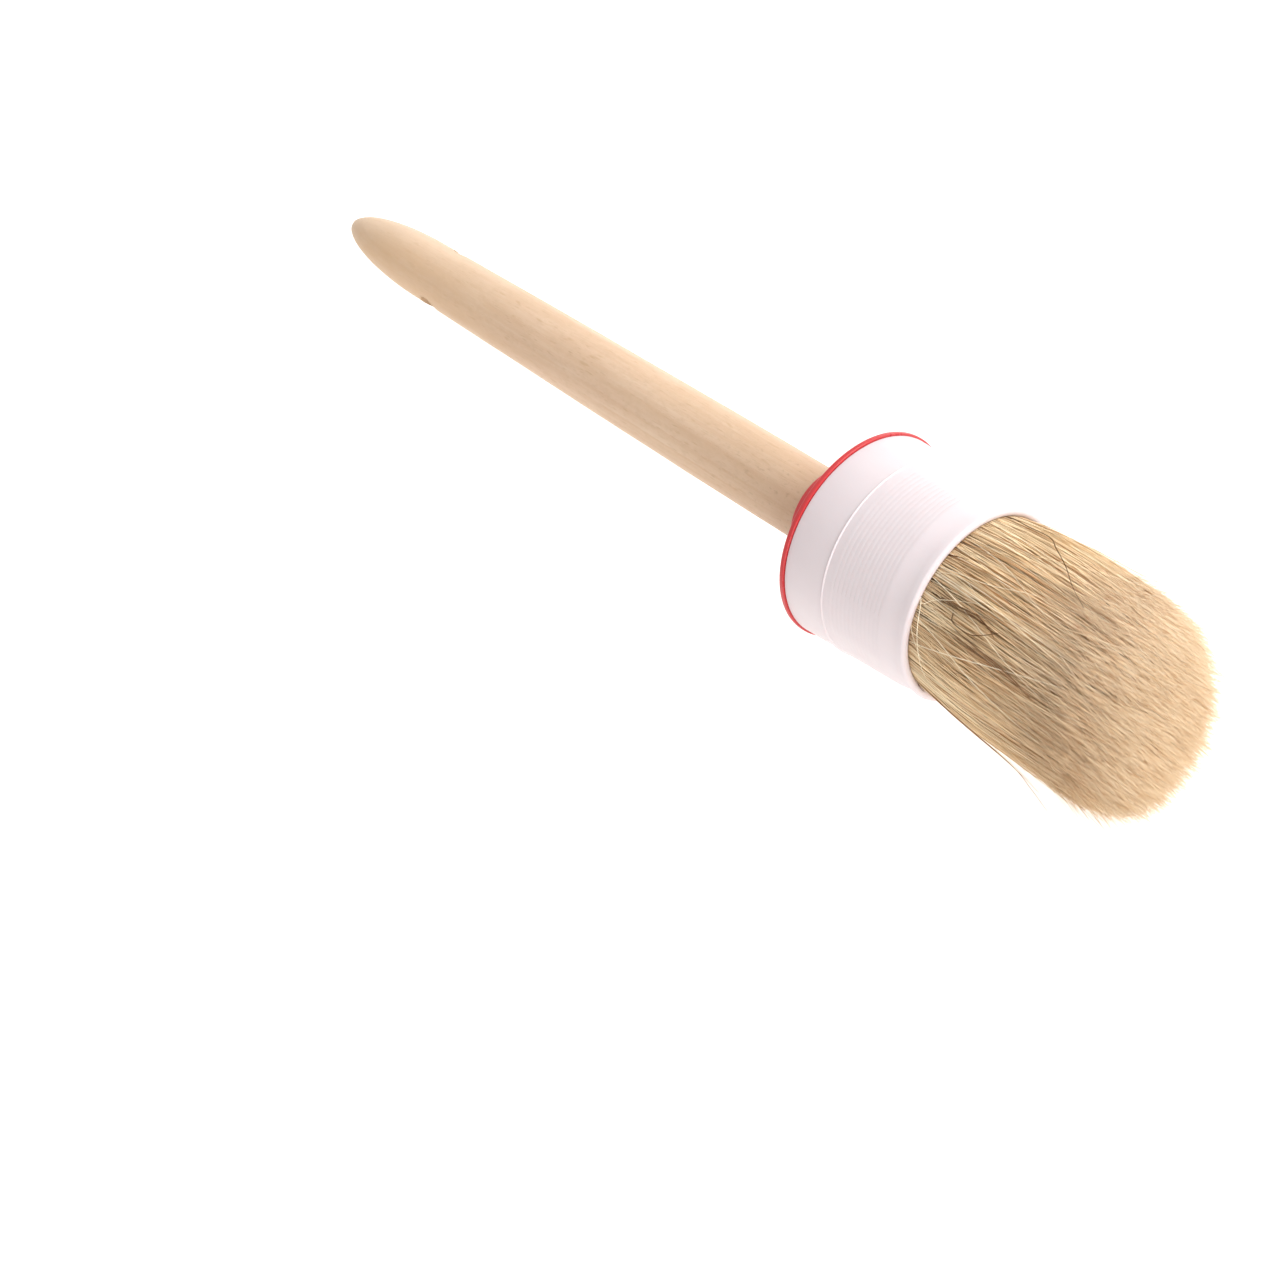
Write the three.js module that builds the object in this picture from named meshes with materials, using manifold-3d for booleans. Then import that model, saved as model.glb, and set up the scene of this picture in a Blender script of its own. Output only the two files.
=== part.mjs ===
// A large round stencil brush, lying on its side: a turned wooden handle with a hanging hole, a red
// plastic collar cap, a white ribbed plastic ferrule, and a knot of natural bristle that is set in
// resin around a core plug.
//
// Every piece is turned about one straight axis. Stations along that axis are measured from the
// ferrule's mouth: positive towards the bristle tips, negative towards the handle's tip.
import * as THREE from "three";
import { mergeVertices } from "three/addons/utils/BufferGeometryUtils.js";
import Module from "manifold-3d";

// Driving dimensions, in millimetres.
const FACETS = 48; // sides of every turned piece, with a flat side underneath
const CURVE_STEPS = 8; // straight steps along one curved stretch of an outline
const GAP = 0.3; // clearance between neighbouring pieces

const RIM_RADIUS = 25; // the collar's rim, half of the brush's nominal size
const RIM_THICKNESS = 1;
const EDGE_ROUND = 0.4; // how far moulded edges are rounded off

const FERRULE_LENGTH = 35.5;
const FERRULE_BACK_RADIUS = 24.5;
const FERRULE_MOUTH_RADIUS = 23.2;
const FERRULE_WALL = 1.3;
const THROAT_RADIUS = 21.2; // the clear radius inside the lip
const STEP_STATION = -24.2; // a raised line that ends the plain band at the back
const STEP_HEIGHT = 0.3;
const STEP_WIDTH = 0.6;
const RIB_COUNT = 13;
const RIB_FIRST_STATION = -22.4;
const RIB_PITCH = 1.2;
const RIB_HEIGHT = 0.12;
const BEAD_RADIUS = 1.05; // the rolled lip around the mouth
const GROOVE_STATION = -3; // the shallow groove behind the lip
const GROOVE_DEPTH = 0.35;

const HANDLE_TIP_STATION = -226.5;
const NOSE_LENGTH = 33.5;
const HANDLE_TIP_END_RADIUS = 7.65; // where the nose begins
const HANDLE_COLLAR_RADIUS = 9.05; // where the handle enters the collar
const BODY_START_REACH = 8; // how far the body keeps each end's direction before it bends away
const BODY_END_REACH = 60;
const TENON_SHOULDER_STATION = -33;
const TENON_RADIUS = 8;
const TENON_END_STATION = -23.3;
const TENON_CHAMFER = 1; // at its end, and the length of the slope at its shoulder

const HOLE_STATION = -187;
const HOLE_RADIUS = 3.1;
const HOLE_SIDES = 32;
const DRILL_LENGTH = 24; // more than the handle's thickness

const NECK_BACK_STATION = -48;
const NECK_FOOT_STATION = -40.6;
const NECK_RADIUS = 11.3;
const NECK_FOOT_RADIUS = 12;
const COVE_RADIUS = 1.8; // the hollow corner between neck and flange
const FLANGE_RISE = 0.9; // how far the flange stands back at the cove
const SKIRT_DEPTH = 8.5;
const SKIRT_WALL = 1.3;
const HUB_FRONT_STATION = -33.5;
const HUB_RADIUS = 11;

const CORE_RADIUS = 7.6;
const CORE_FRONT_RADIUS = 6.8;
const CORE_WALL = 1.2;

const SETTING_BACK_STATION = -22.7;
const SETTING_FRONT_STATION = -14; // the front of the resin and of the core plug in its middle

const KNOT_RADIUS = 23.6;
const KNOT_FULL_STATION = 26; // where the flare reaches its full radius
const KNOT_TIP_STATION = 58;
const DOME_DEPTH = 18;
const DOME_SQUARENESS = 2.6; // 2 would be an ellipse, more is a flatter end with a tighter edge

const COLOURS = {
  handle: { color: 0xf0d2b0, roughness: 0.6, metalness: 0 },
  collar_cap: { color: 0xcf3436, roughness: 0.35, metalness: 0 },
  ferrule: { color: 0xeee4e3, roughness: 0.4, metalness: 0 },
  core_plug: { color: 0xd9d4cc, roughness: 0.5, metalness: 0 },
  resin_setting: { color: 0x9a7440, roughness: 0.3, metalness: 0 },
  bristle_knot: { color: 0xcdb189, roughness: 0.7, metalness: 0 },
};

const wasm = await Module();
wasm.setup();

// A closed geometry as a manifold-3d solid.
function solidFrom(geometry) {
  const bare = geometry.clone();
  bare.deleteAttribute("normal");
  bare.deleteAttribute("uv");
  const merged = mergeVertices(bare, 1e-4);
  return new wasm.Manifold(
    new wasm.Mesh({
      numProp: 3,
      vertProperties: merged.attributes.position.array,
      triVerts: new Uint32Array(merged.index.array),
    }),
  );
}

// A manifold-3d solid back as a three.js geometry.
function geometryFrom(solid) {
  const mesh = solid.getMesh();
  const geometry = new THREE.BufferGeometry();
  geometry.setAttribute("position", new THREE.BufferAttribute(mesh.vertProperties, 3));
  geometry.setIndex(new THREE.BufferAttribute(mesh.triVerts, 1));
  geometry.computeVertexNormals();
  return geometry;
}

// One point of an outline: a station along the axis and a radius about it.
const at = (station, radius) => new THREE.Vector2(radius, station);

// Turns an outline about the brush's axis, which lies along +X.
function turned(outline) {
  const halfFacet = Math.PI / FACETS;
  const geometry = new THREE.LatheGeometry(outline, FACETS, halfFacet, 2 * Math.PI);
  return geometry.rotateZ(-Math.PI / 2);
}

// The radius on the straight line between two stations.
function between(station, fromStation, fromRadius, toStation, toRadius) {
  const share = (station - fromStation) / (toStation - fromStation);
  return fromRadius + share * (toRadius - fromRadius);
}

const ferruleOuter = (station) =>
  between(station, -FERRULE_LENGTH, FERRULE_BACK_RADIUS, 0, FERRULE_MOUTH_RADIUS);
const ferruleInner = (station) => ferruleOuter(station) - FERRULE_WALL;

// The turned wooden handle: an elliptical nose, a long body that swells slightly towards the
// collar, and a tenon that is pressed through the collar against the core plug.
function handle() {
  const noseEnd = HANDLE_TIP_STATION + NOSE_LENGTH;
  const outline = [];
  for (let step = 0; step < CURVE_STEPS; step += 1) {
    const turn = (step / CURVE_STEPS) * (Math.PI / 2);
    outline.push(at(noseEnd - NOSE_LENGTH * Math.cos(turn), HANDLE_TIP_END_RADIUS * Math.sin(turn)));
  }
  const body = new THREE.CubicBezierCurve(
    at(noseEnd, HANDLE_TIP_END_RADIUS),
    at(noseEnd + BODY_START_REACH, HANDLE_TIP_END_RADIUS),
    at(NECK_BACK_STATION - BODY_END_REACH, HANDLE_COLLAR_RADIUS),
    at(NECK_BACK_STATION, HANDLE_COLLAR_RADIUS),
  );
  outline.push(...body.getPoints(CURVE_STEPS));
  outline.push(at(TENON_SHOULDER_STATION, HANDLE_COLLAR_RADIUS));
  outline.push(at(TENON_SHOULDER_STATION + TENON_CHAMFER, TENON_RADIUS));
  outline.push(at(TENON_END_STATION - TENON_CHAMFER, TENON_RADIUS));
  outline.push(at(TENON_END_STATION, TENON_RADIUS - TENON_CHAMFER));
  outline.push(at(TENON_END_STATION, 0));

  const drill = new THREE.CylinderGeometry(HOLE_RADIUS, HOLE_RADIUS, DRILL_LENGTH, HOLE_SIDES);
  drill.translate(HOLE_STATION, 0, 0);
  return geometryFrom(solidFrom(turned(outline)).subtract(solidFrom(drill)));
}

// The red collar cap: a short neck around the handle, a thin flange whose rim stands proud of the
// ferrule's back edge, a skirt that plugs into the ferrule, and a hub that guides the handle.
function collarCap() {
  const rimFront = -FERRULE_LENGTH - GAP;
  const rimBack = rimFront - RIM_THICKNESS;
  const bore = HANDLE_COLLAR_RADIUS + GAP;
  const coveFoot = rimBack - FLANGE_RISE;
  const cove = new THREE.QuadraticBezierCurve(
    at(NECK_FOOT_STATION, NECK_FOOT_RADIUS),
    at(coveFoot, NECK_FOOT_RADIUS),
    at(coveFoot, NECK_FOOT_RADIUS + COVE_RADIUS),
  );
  const skirtFront = rimFront + SKIRT_DEPTH;
  const skirtOuter = ferruleInner(skirtFront) - GAP;
  const skirtInner = skirtOuter - SKIRT_WALL;
  return turned([
    at(NECK_BACK_STATION, bore),
    at(NECK_BACK_STATION, NECK_RADIUS - EDGE_ROUND),
    at(NECK_BACK_STATION + EDGE_ROUND, NECK_RADIUS),
    ...cove.getPoints(CURVE_STEPS / 2),
    at(rimBack, RIM_RADIUS - EDGE_ROUND),
    at(rimBack + EDGE_ROUND, RIM_RADIUS),
    at(rimFront, RIM_RADIUS),
    at(rimFront, skirtOuter),
    at(skirtFront, skirtOuter),
    at(skirtFront, skirtInner),
    at(rimFront, skirtInner),
    at(rimFront, HUB_RADIUS),
    at(HUB_FRONT_STATION, HUB_RADIUS),
    at(HUB_FRONT_STATION, bore),
    at(NECK_BACK_STATION, bore),
  ]);
}

// The white ferrule: a thin tube that narrows towards its mouth, with a plain band, a raised line,
// fine ribs for grip, and a rolled lip.
function ferrule() {
  const raised = (station, height) => at(station, ferruleOuter(station) + height);
  const outline = [
    at(-FERRULE_LENGTH, ferruleInner(-FERRULE_LENGTH)),
    raised(-FERRULE_LENGTH, 0),
    raised(STEP_STATION - STEP_WIDTH / 2, 0),
    raised(STEP_STATION, STEP_HEIGHT),
    raised(STEP_STATION + STEP_WIDTH / 2, 0),
  ];
  for (let rib = 0; rib < RIB_COUNT; rib += 1) {
    const station = RIB_FIRST_STATION + rib * RIB_PITCH;
    outline.push(raised(station, 0));
    outline.push(raised(station + RIB_PITCH / 2, RIB_HEIGHT));
  }
  outline.push(raised(RIB_FIRST_STATION + RIB_COUNT * RIB_PITCH, 0));
  outline.push(raised(GROOVE_STATION, -GROOVE_DEPTH));
  for (let step = 0; step <= CURVE_STEPS; step += 1) {
    const turn = Math.PI * (step / CURVE_STEPS);
    const station = BEAD_RADIUS * (Math.sin(turn) - 1);
    outline.push(at(station, THROAT_RADIUS + BEAD_RADIUS * (1 + Math.cos(turn))));
  }
  outline.push(at(GROOVE_STATION, THROAT_RADIUS + EDGE_ROUND));
  outline.push(at(-FERRULE_LENGTH, ferruleInner(-FERRULE_LENGTH)));
  return turned(outline);
}

// The core plug: a small tapered cup in the middle of the setting, which the hair butts surround.
function corePlug() {
  const back = TENON_END_STATION + GAP;
  return turned([
    at(back, CORE_RADIUS - CORE_WALL),
    at(back, CORE_RADIUS),
    at(SETTING_FRONT_STATION, CORE_FRONT_RADIUS),
    at(SETTING_FRONT_STATION, 0),
    at(SETTING_FRONT_STATION - CORE_WALL, 0),
    at(SETTING_FRONT_STATION - CORE_WALL, CORE_FRONT_RADIUS - CORE_WALL),
    at(back, CORE_RADIUS - CORE_WALL),
  ]);
}

// The resin setting: the hard ring that glues the bristle butts together and into the ferrule.
function resinSetting() {
  const back = SETTING_BACK_STATION;
  const front = SETTING_FRONT_STATION;
  const bore = CORE_RADIUS + GAP;
  return turned([
    at(back, bore),
    at(back, ferruleInner(back) - GAP),
    at(front, ferruleInner(front) - GAP),
    at(front, bore),
    at(back, bore),
  ]);
}

// The bristle knot: the outer shape of thousands of hairs, straight inside the ferrule, flaring
// slightly beyond its mouth and trimmed to a dome. The hairs close over the core plug.
function bristleKnot() {
  const butt = SETTING_FRONT_STATION + GAP;
  const flare = new THREE.CubicBezierCurve(
    at(0, THROAT_RADIUS - GAP),
    at(KNOT_FULL_STATION / 6, THROAT_RADIUS + 1.2),
    at(KNOT_FULL_STATION / 2, KNOT_RADIUS),
    at(KNOT_FULL_STATION, KNOT_RADIUS),
  );
  const outline = [
    at(butt, 0),
    at(butt, THROAT_RADIUS - GAP),
    ...flare.getPoints(CURVE_STEPS),
  ];
  for (let step = 0; step < CURVE_STEPS; step += 1) {
    const turn = (step / CURVE_STEPS) * (Math.PI / 2);
    const depth = DOME_DEPTH * Math.sin(turn) ** (2 / DOME_SQUARENESS);
    const radius = KNOT_RADIUS * Math.cos(turn) ** (2 / DOME_SQUARENESS);
    outline.push(at(KNOT_TIP_STATION - DOME_DEPTH + depth, radius));
  }
  outline.push(at(KNOT_TIP_STATION, 0));
  return turned(outline);
}

// The brush lies along +X, its origin on the floor under the middle of its length.
const brush = new THREE.Group();
brush.position.x = -(HANDLE_TIP_STATION + KNOT_TIP_STATION) / 2;
brush.position.z = RIM_RADIUS * Math.cos(Math.PI / FACETS);

const pieces = {
  handle: handle(),
  collar_cap: collarCap(),
  ferrule: ferrule(),
  core_plug: corePlug(),
  resin_setting: resinSetting(),
  bristle_knot: bristleKnot(),
};
for (const [name, geometry] of Object.entries(pieces)) {
  const piece = new THREE.Mesh(geometry, new THREE.MeshStandardMaterial(COLOURS[name]));
  piece.name = name;
  brush.add(piece);
}

const part = new THREE.Group();
part.add(brush);
export default part;
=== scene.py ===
# A large round stencil brush lying on a white table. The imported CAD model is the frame; this script
# adds the smooth turned pieces, the separate bristles, the materials, the light and the camera.
import math

import bmesh
import bpy
import numpy as np
from mathutils import Matrix, Vector, kdtree, noise


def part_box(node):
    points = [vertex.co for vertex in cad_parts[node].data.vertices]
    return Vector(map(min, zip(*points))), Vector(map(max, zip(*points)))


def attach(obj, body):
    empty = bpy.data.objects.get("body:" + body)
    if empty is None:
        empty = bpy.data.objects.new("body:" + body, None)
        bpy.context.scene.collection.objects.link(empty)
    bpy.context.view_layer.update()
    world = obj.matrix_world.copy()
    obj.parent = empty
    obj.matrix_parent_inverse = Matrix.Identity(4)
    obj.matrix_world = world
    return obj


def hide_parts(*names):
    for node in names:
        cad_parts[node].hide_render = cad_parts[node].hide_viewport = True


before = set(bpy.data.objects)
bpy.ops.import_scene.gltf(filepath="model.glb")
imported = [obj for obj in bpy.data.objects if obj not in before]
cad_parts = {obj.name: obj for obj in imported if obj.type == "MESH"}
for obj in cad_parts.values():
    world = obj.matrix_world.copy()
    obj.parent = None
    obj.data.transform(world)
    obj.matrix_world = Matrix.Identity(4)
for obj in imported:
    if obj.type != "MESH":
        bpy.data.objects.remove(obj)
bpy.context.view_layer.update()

MM = 0.001  # outlines below are in millimetres, and Blender's meshes are in metres
BODY = "root"

# ---- Places and sizes ----
# A station is a place on the brush's axis, in millimetres from the ferrule's mouth: positive
# towards the bristle tips, negative towards the handle's tip.
ferrule_low, ferrule_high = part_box("ferrule")
MOUTH = Vector((ferrule_high.x, 0, (ferrule_low.z + ferrule_high.z) / 2))


def station_of(x):
    """The station of a place along X, in metres."""
    return (x - MOUTH.x) / MM


def stations(node):
    """The first and last station of a CAD node."""
    low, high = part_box(node)
    return station_of(low.x), station_of(high.x)


def radius_of(node):
    """The largest radius of a turned CAD node, in millimetres."""
    low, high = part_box(node)
    return (high.z - low.z) / 2 / MM


HANDLE_TIP, TENON_END = stations("handle")
NECK_BACK, SKIRT_FRONT = stations("collar_cap")
FERRULE_BACK, FERRULE_FRONT = stations("ferrule")
KNOT_BUTT, KNOT_TIP = stations("bristle_knot")
RIM_RADIUS = radius_of("collar_cap")
FERRULE_RADIUS = radius_of("ferrule")
KNOT_RADIUS = radius_of("bristle_knot")
HANDLE_RADIUS = radius_of("handle")  # where the handle enters the collar

# Sizes in millimetres, as in CAD, but ribs, groove and seating gap are finer than in CAD.
GAP = 0.3  # the clearance that the CAD keeps between neighbouring pieces
SEATING_GAP = 0.05  # between the rim and the ferrule's back edge, which touch on a real brush
NOSE_LENGTH = 33.5
NOSE_RADIUS = 7.65
BODY_START_REACH = 8  # the body's outline is one Bezier curve, level at both ends
BODY_END_REACH = 60
TENON_RADIUS = 8
TENON_SHOULDER = -33
HOLE_STATION = -187
HOLE_RADIUS = 3.1

NECK_RADIUS = 11.3
NECK_FOOT = -40.6
NECK_FOOT_RADIUS = 12
COVE_RADIUS = 1.8
FLANGE_RISE = 0.9
RIM_THICKNESS = 1.0
SKIRT_WALL = 1.3
HUB_FRONT = -33.5
HUB_RADIUS = 11

FERRULE_WALL = 1.3
MOUTH_RADIUS = 23.15
THROAT_RADIUS = 21.2
BEAD_RADIUS = 1.05
STEP_STATION = -24.2
STEP_HEIGHT = 0.3
STEP_WIDTH = 0.6
RIB_COUNT = 13
RIB_FIRST = -22.4
RIB_PITCH = 1.2
RIB_HEIGHT = 0.035
GROOVE_STATION = -3
GROOVE_DEPTH = 0.25

KNOT_FULL = 26  # where the knot's flare reaches its full radius
DOME_DEPTH = 18
DOME_SQUARENESS = 2.6  # 2 would be an ellipse, more is a flatter end with a tighter edge


# ---- Camera, floor and light ----
CAMERA_AZIMUTH = math.radians(88.1)  # 0 looks along +Y, 90 looks along -X
CAMERA_ELEVATION = math.radians(52.2)
CAMERA_ROLL = math.radians(-53.1)
CAMERA_DISTANCE = 0.644  # in metres
CAMERA_AIM = MOUTH + Vector((-0.0441, -0.0482, 0.0329))
LENS = 84.18
SENSOR = 36

SURROUND_COLOUR = (1.0, 0.992, 0.99, 1)
SURROUND_STRENGTH = 0.99
DIM_STRENGTH = 0.74
DIM_SIDE = (0, -0.72, 0.69)  # the direction in which the surround is dimmest
DIM_START = 0.2  # the surround dims where a direction's dot product with it is over this


def linked(name, data):
    """A new object that holds this data, in the scene."""
    made = bpy.data.objects.new(name, data)
    bpy.context.scene.collection.objects.link(made)
    return made


def add_camera():
    """The photograph's view of the head, from above and in front, with the camera rolled."""
    azimuth, elevation = CAMERA_AZIMUTH, CAMERA_ELEVATION
    back = Vector((
        math.sin(azimuth) * math.cos(elevation),
        -math.cos(azimuth) * math.cos(elevation),
        math.sin(elevation),
    ))
    level_right = Vector((math.cos(azimuth), math.sin(azimuth), 0))
    level_up = back.cross(level_right)
    right = level_right * math.cos(CAMERA_ROLL) + level_up * math.sin(CAMERA_ROLL)
    up = back.cross(right)
    data = bpy.data.cameras.new("camera")
    data.lens = LENS
    data.sensor_width = SENSOR
    data.clip_start = 0.01
    camera = linked("camera", data)
    turn = Matrix((right, up, back)).transposed().to_4x4()
    camera.matrix_world = Matrix.Translation(CAMERA_AIM + back * CAMERA_DISTANCE) @ turn
    bpy.context.scene.camera = camera


def add_softbox(name, place, width, height, watts, colour):
    """A rectangular lamp that faces the ferrule's mouth. Places and sizes are in metres."""
    data = bpy.data.lights.new(name, "AREA")
    data.shape = "RECTANGLE"
    data.size = width
    data.size_y = height
    data.energy = watts
    data.color = colour
    lamp = linked(name, data)
    lamp.location = place
    lamp.rotation_euler = (MOUTH - Vector(place)).to_track_quat("-Z", "Y").to_euler()


def add_room():
    """A seamless white surround, dimmer on one side, and two softboxes beside the brush."""
    world = bpy.data.worlds.new("white_surround")
    world.use_nodes = True
    nodes, links = world.node_tree.nodes, world.node_tree.links
    direction = nodes.new("ShaderNodeTexCoord").outputs["Generated"]
    towards_dim = nodes.new("ShaderNodeVectorMath")
    towards_dim.operation = "DOT_PRODUCT"
    towards_dim.inputs[1].default_value = DIM_SIDE
    strength = nodes.new("ShaderNodeMapRange")
    strength.inputs["From Min"].default_value = DIM_START
    strength.inputs["To Min"].default_value = SURROUND_STRENGTH
    strength.inputs["To Max"].default_value = DIM_STRENGTH
    background = nodes["Background"]
    background.inputs["Color"].default_value = SURROUND_COLOUR
    links.new(direction, towards_dim.inputs[0])
    links.new(towards_dim.outputs["Value"], strength.inputs["Value"])
    links.new(strength.outputs["Result"], background.inputs["Strength"])
    bpy.context.scene.world = world
    add_softbox("key", (0.72, 0.88, 0.46), 0.9, 0.6, 12.2, (0.965, 0.985, 1.0))
    add_softbox("fill", (1.10, -0.60, 0.22), 0.6, 0.4, 5.4, (1.0, 0.985, 0.97))
    scene = bpy.context.scene
    scene.view_settings.view_transform = "Standard"
    scene.cycles.max_bounces = 16
    scene.cycles.diffuse_bounces = 12  # light goes from hair to hair many times in the bristles


# ---- Materials ----
class Nodes:
    """A material's node tree. Most methods add a node and give back its output."""

    def __init__(self, name):
        self.material = bpy.data.materials.new(name)
        self.material.use_nodes = True
        self.tree = self.material.node_tree
        self.shader = self.tree.nodes["Principled BSDF"]
        self.place = self.add("ShaderNodeTexCoord").outputs["Object"]

    def add(self, kind, inputs=None, **settings):
        made = self.tree.nodes.new(kind)
        for name, value in settings.items():
            setattr(made, name, value)
        for socket, value in (inputs or {}).items():
            self.put(made.inputs[socket], value)
        return made

    def put(self, socket, value):
        if isinstance(value, bpy.types.NodeSocket):
            self.tree.links.new(value, socket)
        elif socket.type == "RGBA":
            socket.default_value = (*value[:3], 1)
        else:
            socket.default_value = value

    def set(self, **values):
        """Sets or links the shader's own sockets; an underscore stands for a space."""
        for name, value in values.items():
            self.put(self.shader.inputs[name.replace("_", " ")], value)

    def stretched(self, x, y, z, location=(0, 0, 0), rotation=(0, 0, 0)):
        """Places scaled by x, y and z: a larger scale makes a pattern finer along that axis."""
        inputs = {"Vector": self.place, "Scale": (x, y, z), "Location": location,
                  "Rotation": rotation}
        return self.add("ShaderNodeMapping", inputs).outputs["Vector"]

    def noise(self, vector, scale=1.0, detail=2.0, roughness=0.5, distortion=0.0):
        inputs = {"Vector": vector, "Scale": scale, "Detail": detail, "Roughness": roughness,
                  "Distortion": distortion}
        return self.add("ShaderNodeTexNoise", inputs).outputs["Fac"]

    def ramp(self, factor, *stops):
        """Colours or greys at places from 0 to 1."""
        made = self.add("ShaderNodeValToRGB", {"Fac": factor})
        elements = made.color_ramp.elements
        while len(elements) < len(stops):
            elements.new(0.5)
        for element, (place, value) in zip(elements, stops):
            element.position = place
            colour = value if isinstance(value, tuple) else (value, value, value)
            element.color = (*colour, 1)
        return made.outputs["Color"]

    def between(self, value, low, high, to_low=0.0, to_high=1.0):
        """Takes the range from low to high to another range, and holds it at the ends."""
        inputs = {"Value": value, "From Min": low, "From Max": high, "To Min": to_low,
                  "To Max": to_high}
        return self.add("ShaderNodeMapRange", inputs).outputs["Result"]

    def maths(self, operation, first, second=0.0):
        return self.add("ShaderNodeMath", {0: first, 1: second}, operation=operation).outputs[0]

    def mix(self, factor, first, second, blend="MIX"):
        inputs = {"Factor": factor, 6: first, 7: second}
        made = self.add("ShaderNodeMix", inputs, data_type="RGBA", blend_type=blend)
        return made.outputs[2]

    def tinted(self, colour, mask, low, high, most, tint):
        """The colour, mixed with a tint by up to most where the mask rises from low to high."""
        return self.mix(self.between(mask, low, high, 0, most), colour, tint)

    def attribute(self, name):
        return self.add("ShaderNodeAttribute", attribute_name=name).outputs["Fac"]

    def bump(self, height, strength, distance, below=None):
        inputs = {"Height": height, "Strength": strength, "Distance": distance}
        if below is not None:
            inputs["Normal"] = below
        return self.add("ShaderNodeBump", inputs).outputs["Normal"]

    def split(self, vector):
        return self.add("ShaderNodeSeparateXYZ", {"Vector": vector}).outputs


def wood_grain(n):
    """The blank's own colour, then the noises that other parts of the material need as well."""
    pith = (0, 0.034, 0.021)  # the tree's middle lay beside the blank, and a little askew
    tree = n.stretched(1, 1, 1, pith, (0, math.radians(0.9), math.radians(1.6)))
    wander = n.noise(n.stretched(14, 90, 90), 1, 2)
    rings = n.add(
        "ShaderNodeTexWave",
        {"Vector": tree, "Scale": 118, "Distortion": n.between(wander, 0, 1, 0.6, 3.4),
         "Detail": 1.5, "Detail Scale": 40, "Detail Roughness": 0.5},
        wave_type="RINGS", rings_direction="X", wave_profile="SAW",
    ).outputs["Fac"]
    drift = n.noise(n.stretched(16, 50, 50), 1, 2)
    fibre = n.noise(n.stretched(55, 1500, 1500), 1, 4, 0.6)
    broad_fibre = n.noise(n.stretched(22, 420, 420), 1, 3, 0.55, 0.3)
    stain = n.noise(n.stretched(9, 75, 75, (0.1, 0.6, 0.2)), 1, 4, 0.6, 0.4)
    cloud = n.noise(n.stretched(60, 130, 130, (0.7, 0.2, 0.4)), 1, 3, 0.6)
    mottle = n.noise(n.stretched(420, 800, 800, (0.4, 0.4, 0.1)), 1, 3, 0.6)
    pores = n.noise(n.stretched(330, 4200, 4200), 1, 1.5, 0.4)
    flecks = n.noise(n.stretched(210, 900, 900, (0.3, 0.1, 0.7)), 1, 1, 0.4)

    colour = n.ramp(rings, (0.0, (0.660, 0.475, 0.330)), (0.72, (0.630, 0.440, 0.292)),
                    (0.94, (0.580, 0.385, 0.245)), (1.0, (0.650, 0.465, 0.320)))
    colour = n.tinted(colour, drift, 0.35, 0.7, 0.5, (0.67, 0.46, 0.322))
    colour = n.tinted(colour, broad_fibre, 0.38, 0.66, 0.4, (0.575, 0.385, 0.25))
    colour = n.tinted(colour, fibre, 0.45, 0.72, 0.35, (0.71, 0.545, 0.395))
    colour = n.tinted(colour, stain, 0.44, 0.64, 0.65, (0.53, 0.35, 0.215))
    colour = n.tinted(colour, cloud, 0.50, 0.70, 0.35, (0.70, 0.53, 0.39))
    colour = n.tinted(colour, mottle, 0.48, 0.68, 0.45, (0.56, 0.385, 0.25))
    colour = n.tinted(colour, pores, 0.66, 0.74, 0.5, (0.42, 0.27, 0.15))
    colour = n.tinted(colour, flecks, 0.66, 0.76, 0.5, (0.50, 0.32, 0.18))
    return colour, fibre, broad_fibre, pores, cloud


def wood_near_cap(n, colour, x):
    """Darker, duller wood towards the collar, with specks of grime there."""
    near_cap = n.between(x, MOUTH.x - 95 * MM, MOUTH.x - 50 * MM)
    specks = n.noise(n.stretched(650, 1100, 1100, (0.2, 0.9, 0.5)), 1, 2, 0.5)
    # The wood is darker towards the collar.
    colour = n.mix(n.maths("MULTIPLY", near_cap, 0.45), colour, (0.50, 0.345, 0.225))
    grime = n.maths("MULTIPLY", near_cap, n.between(specks, 0.60, 0.74, 0, 0.38))
    return n.mix(grime, colour, (0.32, 0.21, 0.13))


def wood_near_hole(n, colour, x, height, broad_fibre):
    """The hanging hole's rough inside, darker for its end grain and with painted shade, and the dark
    edge around it.
    """
    along = n.maths("SUBTRACT", x, MOUTH.x + HOLE_STATION * MM)
    square = n.maths("ADD", n.maths("MULTIPLY", height, height), n.maths("MULTIPLY", along, along))
    ragged = n.between(broad_fibre, 0, 1, -0.0005, 0.0005)
    from_hole = n.maths("ADD", n.maths("SQRT", square), ragged)
    edge = n.between(from_hole, (HOLE_RADIUS + 0.05) * MM, (HOLE_RADIUS + 0.6) * MM, 0.6, 0)
    # Partly painted shade: the wall inside the hole is darker for its end grain and for the shade that
    # falls in the hole.
    inside = n.between(from_hole, HOLE_RADIUS * MM, (HOLE_RADIUS + 0.25) * MM, 1, 0)
    colour = n.mix(edge, colour, (0.36, 0.22, 0.12))
    return n.mix(inside, colour, (0.40, 0.27, 0.165))


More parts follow.
